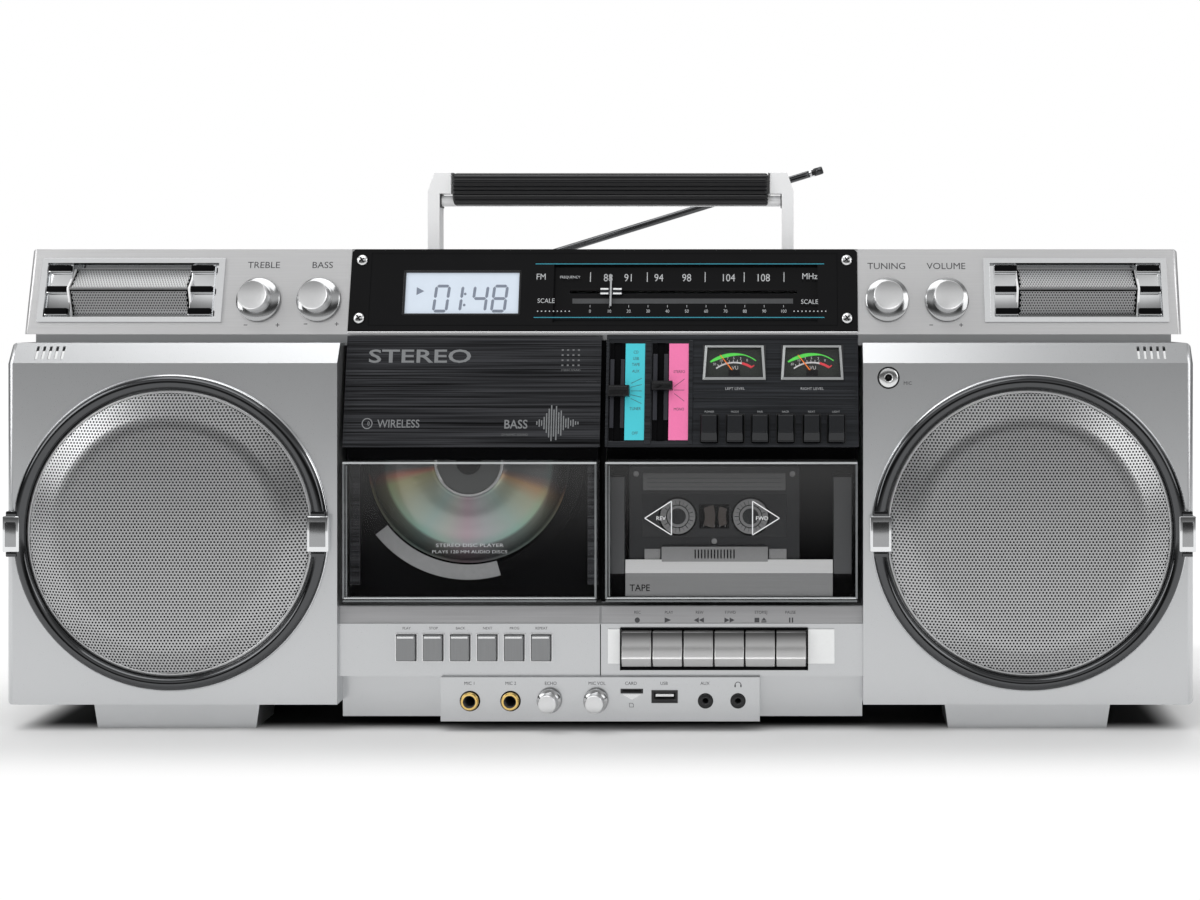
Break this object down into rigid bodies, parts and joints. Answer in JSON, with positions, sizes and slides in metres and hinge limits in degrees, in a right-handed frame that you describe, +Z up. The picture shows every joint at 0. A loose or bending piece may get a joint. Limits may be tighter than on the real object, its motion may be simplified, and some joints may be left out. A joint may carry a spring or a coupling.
{
  "type": "portable stereo cassette player",
  "caption": "Portable stereo: two loudspeaker cabinets, a disc player, a cassette deck and a tuner, with a folding handle and a telescopic antenna.",
  "frame": {"origin": "on the floor, under the middle of the object's box", "axes": "+X to the right along the length as seen from the front, +Y towards the back, +Z up; the loudspeakers face -Y"},
  "size_m": [0.695, 0.185, 0.3446],
  "materials": {
    "silver_shell": "satin silver paint on moulded plastic",
    "console_silver": "satin silver paint on moulded plastic",
    "chrome_trim": "polished plating",
    "mesh_silver": "perforated silver mesh",
    "driver_black": "black driver",
    "dial_black": "high gloss black",
    "display": "lit display",
    "panel_black": "brushed black",
    "meter_face": "meter with a pale frame",
    "needle_orange": "painted needle",
    "pointer_white": "painted pointer",
    "button_black": "gloss black",
    "button_silver": "satin silver",
    "clear_window": "smoked clear plastic",
    "holder_dark": "dark moulded plastic",
    "cassette_smoke": "smoked cassette shell",
    "disc_silver": "polished disc",
    "deck_black": "black chassis",
    "spindle_white": "white plastic",
    "handle_silver": "satin silver",
    "grip_black": "ribbed black grip",
    "socket_mixed": "brass and black plastic",
    "board_green": "circuit board",
    "screw_steel": "screw heads"
  },
  "bodies": {
    "base": {"front_shell": "silver_shell", "rear_shell": "silver_shell", "rear_mouldings": "silver_shell", "top_console": "console_silver", "dial_panel": "dial_black", "switch_panel": "panel_black", "vu_meters": "meter_face", "woofer_rings": "chrome_trim", "woofer_grilles": "mesh_silver", "woofer_drivers": "driver_black", "tweeter_horns": "chrome_trim", "tweeter_grilles": "mesh_silver", "front_sockets": "socket_mixed", "tape_deck": "deck_black", "cd_deck": "deck_black", "boards_and_display": "board_green", "screws": "screw_steel"},
    "tape_door": {"tape_door_window": "clear_window", "tape_door_carrier": "holder_dark", "cassette": "cassette_smoke"},
    "cd_door": {"cd_door_window": "clear_window", "cd_door_plate": "panel_black"},
    "handle": {"handle_frame": "handle_silver", "handle_grip": "grip_black"},
    "antenna_turret": {"antenna_base": "chrome_trim"},
    "antenna_mast": {"antenna_outer_tube": "chrome_trim"},
    "antenna_tip": {"antenna_inner_tube": "chrome_trim"},
    "battery_cover": {"battery_door": "silver_shell"},
    "disc": {"compact_disc": "disc_silver"},
    "knob_tuning": {"knob_tuning": "chrome_trim"},
    "knob_volume": {"knob_volume": "chrome_trim"},
    "knob_treble": {"knob_treble": "chrome_trim"},
    "knob_bass": {"knob_bass": "chrome_trim"},
    "dial_pointer": {"tuning_pointer": "pointer_white"},
    "knob_echo": {"knob_echo": "chrome_trim"},
    "knob_mic_volume": {"knob_mic_volume": "chrome_trim"},
    "function_switch": {"function_slider": "button_black"},
    "band_switch": {"band_slider": "button_black"},
    "meter_needle_left": {"vu_needle_left": "needle_orange"},
    "meter_needle_right": {"vu_needle_right": "needle_orange"},
    "reel_left": {"reel_spindle_left": "spindle_white"},
    "reel_right": {"reel_spindle_right": "spindle_white"},
    "tape_key_record": {"tape_key_record": "button_silver"},
    "tape_key_play": {"tape_key_play": "button_silver"},
    "tape_key_rewind": {"tape_key_rewind": "button_silver"},
    "tape_key_forward": {"tape_key_forward": "button_silver"},
    "tape_key_stop": {"tape_key_stop": "button_silver"},
    "tape_key_pause": {"tape_key_pause": "button_silver"},
    "cd_button_play": {"cd_button_play": "button_silver"},
    "cd_button_stop": {"cd_button_stop": "button_silver"},
    "cd_button_previous": {"cd_button_previous": "button_silver"},
    "cd_button_next": {"cd_button_next": "button_silver"},
    "cd_button_program": {"cd_button_program": "button_silver"},
    "cd_button_repeat": {"cd_button_repeat": "button_silver"},
    "selector_button_1": {"selector_button_1": "button_black"},
    "selector_button_2": {"selector_button_2": "button_black"},
    "selector_button_3": {"selector_button_3": "button_black"},
    "selector_button_4": {"selector_button_4": "button_black"},
    "selector_button_5": {"selector_button_5": "button_black"},
    "selector_button_6": {"selector_button_6": "button_black"}
  },
  "joints": [
    {"name": "tape_door_hinge", "type": "hinge", "parent": "base", "child": "tape_door", "pos_m": [0.0767, -0.0774, 0.0779], "axis": [1, 0, 0], "range_deg": [0, 25]},
    {"name": "cd_door_hinge", "type": "hinge", "parent": "base", "child": "cd_door", "pos_m": [-0.0764, -0.0774, 0.0779], "axis": [1, 0, 0], "range_deg": [0, 32]},
    {"name": "handle_fold", "type": "hinge", "parent": "base", "child": "handle", "pos_m": [0, -0.019, 0.276], "axis": [-1, 0, 0], "range_deg": [0, 90]},
    {"name": "antenna_swivel", "type": "hinge", "parent": "base", "child": "antenna_turret", "pos_m": [-0.063, 0.068, 0.27], "axis": [0, 0, 1], "range_deg": [0, 180]},
    {"name": "antenna_tilt", "type": "hinge", "parent": "antenna_turret", "child": "antenna_mast", "pos_m": [-0.063, 0.068, 0.2817], "axis": [0, -1, 0], "range_deg": [-17, 72.9]},
    {"name": "antenna_extend", "type": "slide", "parent": "antenna_mast", "child": "antenna_tip", "axis": [0.9558, 0, 0.294], "range_m": [0, 0.15]},
    {"name": "battery_door_hinge", "type": "hinge", "parent": "base", "child": "battery_cover", "pos_m": [0, 0.0917, 0.0404], "axis": [-1, 0, 0], "range_deg": [0, 95]},
    {"name": "disc_spin", "type": "hinge", "parent": "base", "child": "disc", "pos_m": [-0.0803, -0.0644, 0.1565], "axis": [0, 1, 0], "continuous": true},
    {"name": "tuning_knob_turn", "type": "hinge", "parent": "base", "child": "knob_tuning", "pos_m": [0.169, -0.06419, 0.253], "axis": [0, 0.9754, -0.2204], "range_deg": [-30, 245]},
    {"name": "volume_knob_turn", "type": "hinge", "parent": "base", "child": "knob_volume", "pos_m": [0.2045, -0.06419, 0.253], "axis": [0, 0.9754, -0.2204], "range_deg": [-90, 180]},
    {"name": "treble_knob_turn", "type": "hinge", "parent": "base", "child": "knob_treble", "pos_m": [-0.2054, -0.06419, 0.253], "axis": [0, 0.9754, -0.2204], "range_deg": [-150, 150]},
    {"name": "bass_knob_turn", "type": "hinge", "parent": "base", "child": "knob_bass", "pos_m": [-0.1696, -0.06419, 0.253], "axis": [0, 0.9754, -0.2204], "range_deg": [-150, 150]},
    {"name": "tuning_pointer_slide", "type": "slide", "parent": "base", "child": "dial_pointer", "axis": [1, 0, 0], "range_m": [-0.0121, 0.0981]},
    {"name": "echo_knob_turn", "type": "hinge", "parent": "base", "child": "knob_echo", "pos_m": [-0.0296, -0.082, 0.0188], "axis": [0, 1, 0], "range_deg": [-150, 150]},
    {"name": "mic_volume_knob_turn", "type": "hinge", "parent": "base", "child": "knob_mic_volume", "pos_m": [-0.0024, -0.082, 0.0188], "axis": [0, 1, 0], "range_deg": [-150, 150]},
    {"name": "function_slide", "type": "slide", "parent": "base", "child": "function_switch", "axis": [0, 0.1685, 0.9857], "range_m": [-0.024, 0.024]},
    {"name": "band_slide", "type": "slide", "parent": "base", "child": "band_switch", "axis": [0, 0.1685, 0.9857], "range_m": [-0.028, 0.021]},
    {"name": "vu_needle_left_swing", "type": "hinge", "parent": "base", "child": "meter_needle_left", "pos_m": [0.0781, -0.0726, 0.21], "axis": [0, 0.9857, -0.1685], "range_deg": [0, 74]},
    {"name": "vu_needle_right_swing", "type": "hinge", "parent": "base", "child": "meter_needle_right", "pos_m": [0.12415, -0.0726, 0.21], "axis": [0, 0.9857, -0.1685], "range_deg": [0, 74]},
    {"name": "reel_left_spin", "type": "hinge", "parent": "base", "child": "reel_left", "pos_m": [0.045, -0.062, 0.1256], "axis": [0, 1, 0], "continuous": true},
    {"name": "reel_right_spin", "type": "hinge", "parent": "base", "child": "reel_right", "pos_m": [0.0878, -0.062, 0.1256], "axis": [0, 1, 0], "continuous": true},
    {"name": "tape_key_record_press", "type": "slide", "parent": "base", "child": "tape_key_record", "axis": [0, 1, 0], "range_m": [0, 0.0045], "stiffness_N_per_m": 300},
    {"name": "tape_key_play_press", "type": "slide", "parent": "base", "child": "tape_key_play", "axis": [0, 1, 0], "range_m": [0, 0.0045], "stiffness_N_per_m": 300},
    {"name": "tape_key_rewind_press", "type": "slide", "parent": "base", "child": "tape_key_rewind", "axis": [0, 1, 0], "range_m": [0, 0.0045], "stiffness_N_per_m": 300},
    {"name": "tape_key_forward_press", "type": "slide", "parent": "base", "child": "tape_key_forward", "axis": [0, 1, 0], "range_m": [0, 0.0045], "stiffness_N_per_m": 300},
    {"name": "tape_key_stop_press", "type": "slide", "parent": "base", "child": "tape_key_stop", "axis": [0, 1, 0], "range_m": [0, 0.0045], "stiffness_N_per_m": 300},
    {"name": "tape_key_pause_press", "type": "slide", "parent": "base", "child": "tape_key_pause", "axis": [0, 1, 0], "range_m": [0, 0.0045], "stiffness_N_per_m": 300},
    {"name": "cd_button_play_press", "type": "slide", "parent": "base", "child": "cd_button_play", "axis": [0, 1, 0], "range_m": [0, 0.0012], "stiffness_N_per_m": 300},
    {"name": "cd_button_stop_press", "type": "slide", "parent": "base", "child": "cd_button_stop", "axis": [0, 1, 0], "range_m": [0, 0.0012], "stiffness_N_per_m": 300},
    {"name": "cd_button_previous_press", "type": "slide", "parent": "base", "child": "cd_button_previous", "axis": [0, 1, 0], "range_m": [0, 0.0012], "stiffness_N_per_m": 300},
    {"name": "cd_button_next_press", "type": "slide", "parent": "base", "child": "cd_button_next", "axis": [0, 1, 0], "range_m": [0, 0.0012], "stiffness_N_per_m": 300},
    {"name": "cd_button_program_press", "type": "slide", "parent": "base", "child": "cd_button_program", "axis": [0, 1, 0], "range_m": [0, 0.0012], "stiffness_N_per_m": 300},
    {"name": "cd_button_repeat_press", "type": "slide", "parent": "base", "child": "cd_button_repeat", "axis": [0, 1, 0], "range_m": [0, 0.0012], "stiffness_N_per_m": 300},
    {"name": "selector_button_1_press", "type": "slide", "parent": "base", "child": "selector_button_1", "axis": [0, 0.9857, -0.1685], "range_m": [0, 0.003], "stiffness_N_per_m": 300},
    {"name": "selector_button_2_press", "type": "slide", "parent": "base", "child": "selector_button_2", "axis": [0, 0.9857, -0.1685], "range_m": [0, 0.003], "stiffness_N_per_m": 300},
    {"name": "selector_button_3_press", "type": "slide", "parent": "base", "child": "selector_button_3", "axis": [0, 0.9857, -0.1685], "range_m": [0, 0.003], "stiffness_N_per_m": 300},
    {"name": "selector_button_4_press", "type": "slide", "parent": "base", "child": "selector_button_4", "axis": [0, 0.9857, -0.1685], "range_m": [0, 0.003], "stiffness_N_per_m": 300},
    {"name": "selector_button_5_press", "type": "slide", "parent": "base", "child": "selector_button_5", "axis": [0, 0.9857, -0.1685], "range_m": [0, 0.003], "stiffness_N_per_m": 300},
    {"name": "selector_button_6_press", "type": "slide", "parent": "base", "child": "selector_button_6", "axis": [0, 0.9857, -0.1685], "range_m": [0, 0.003], "stiffness_N_per_m": 300}
  ],
  "couplings": [
    {"joint": "tuning_pointer_slide", "follows": "tuning_knob_turn", "m_per_rad": 0.022918}
  ]
}
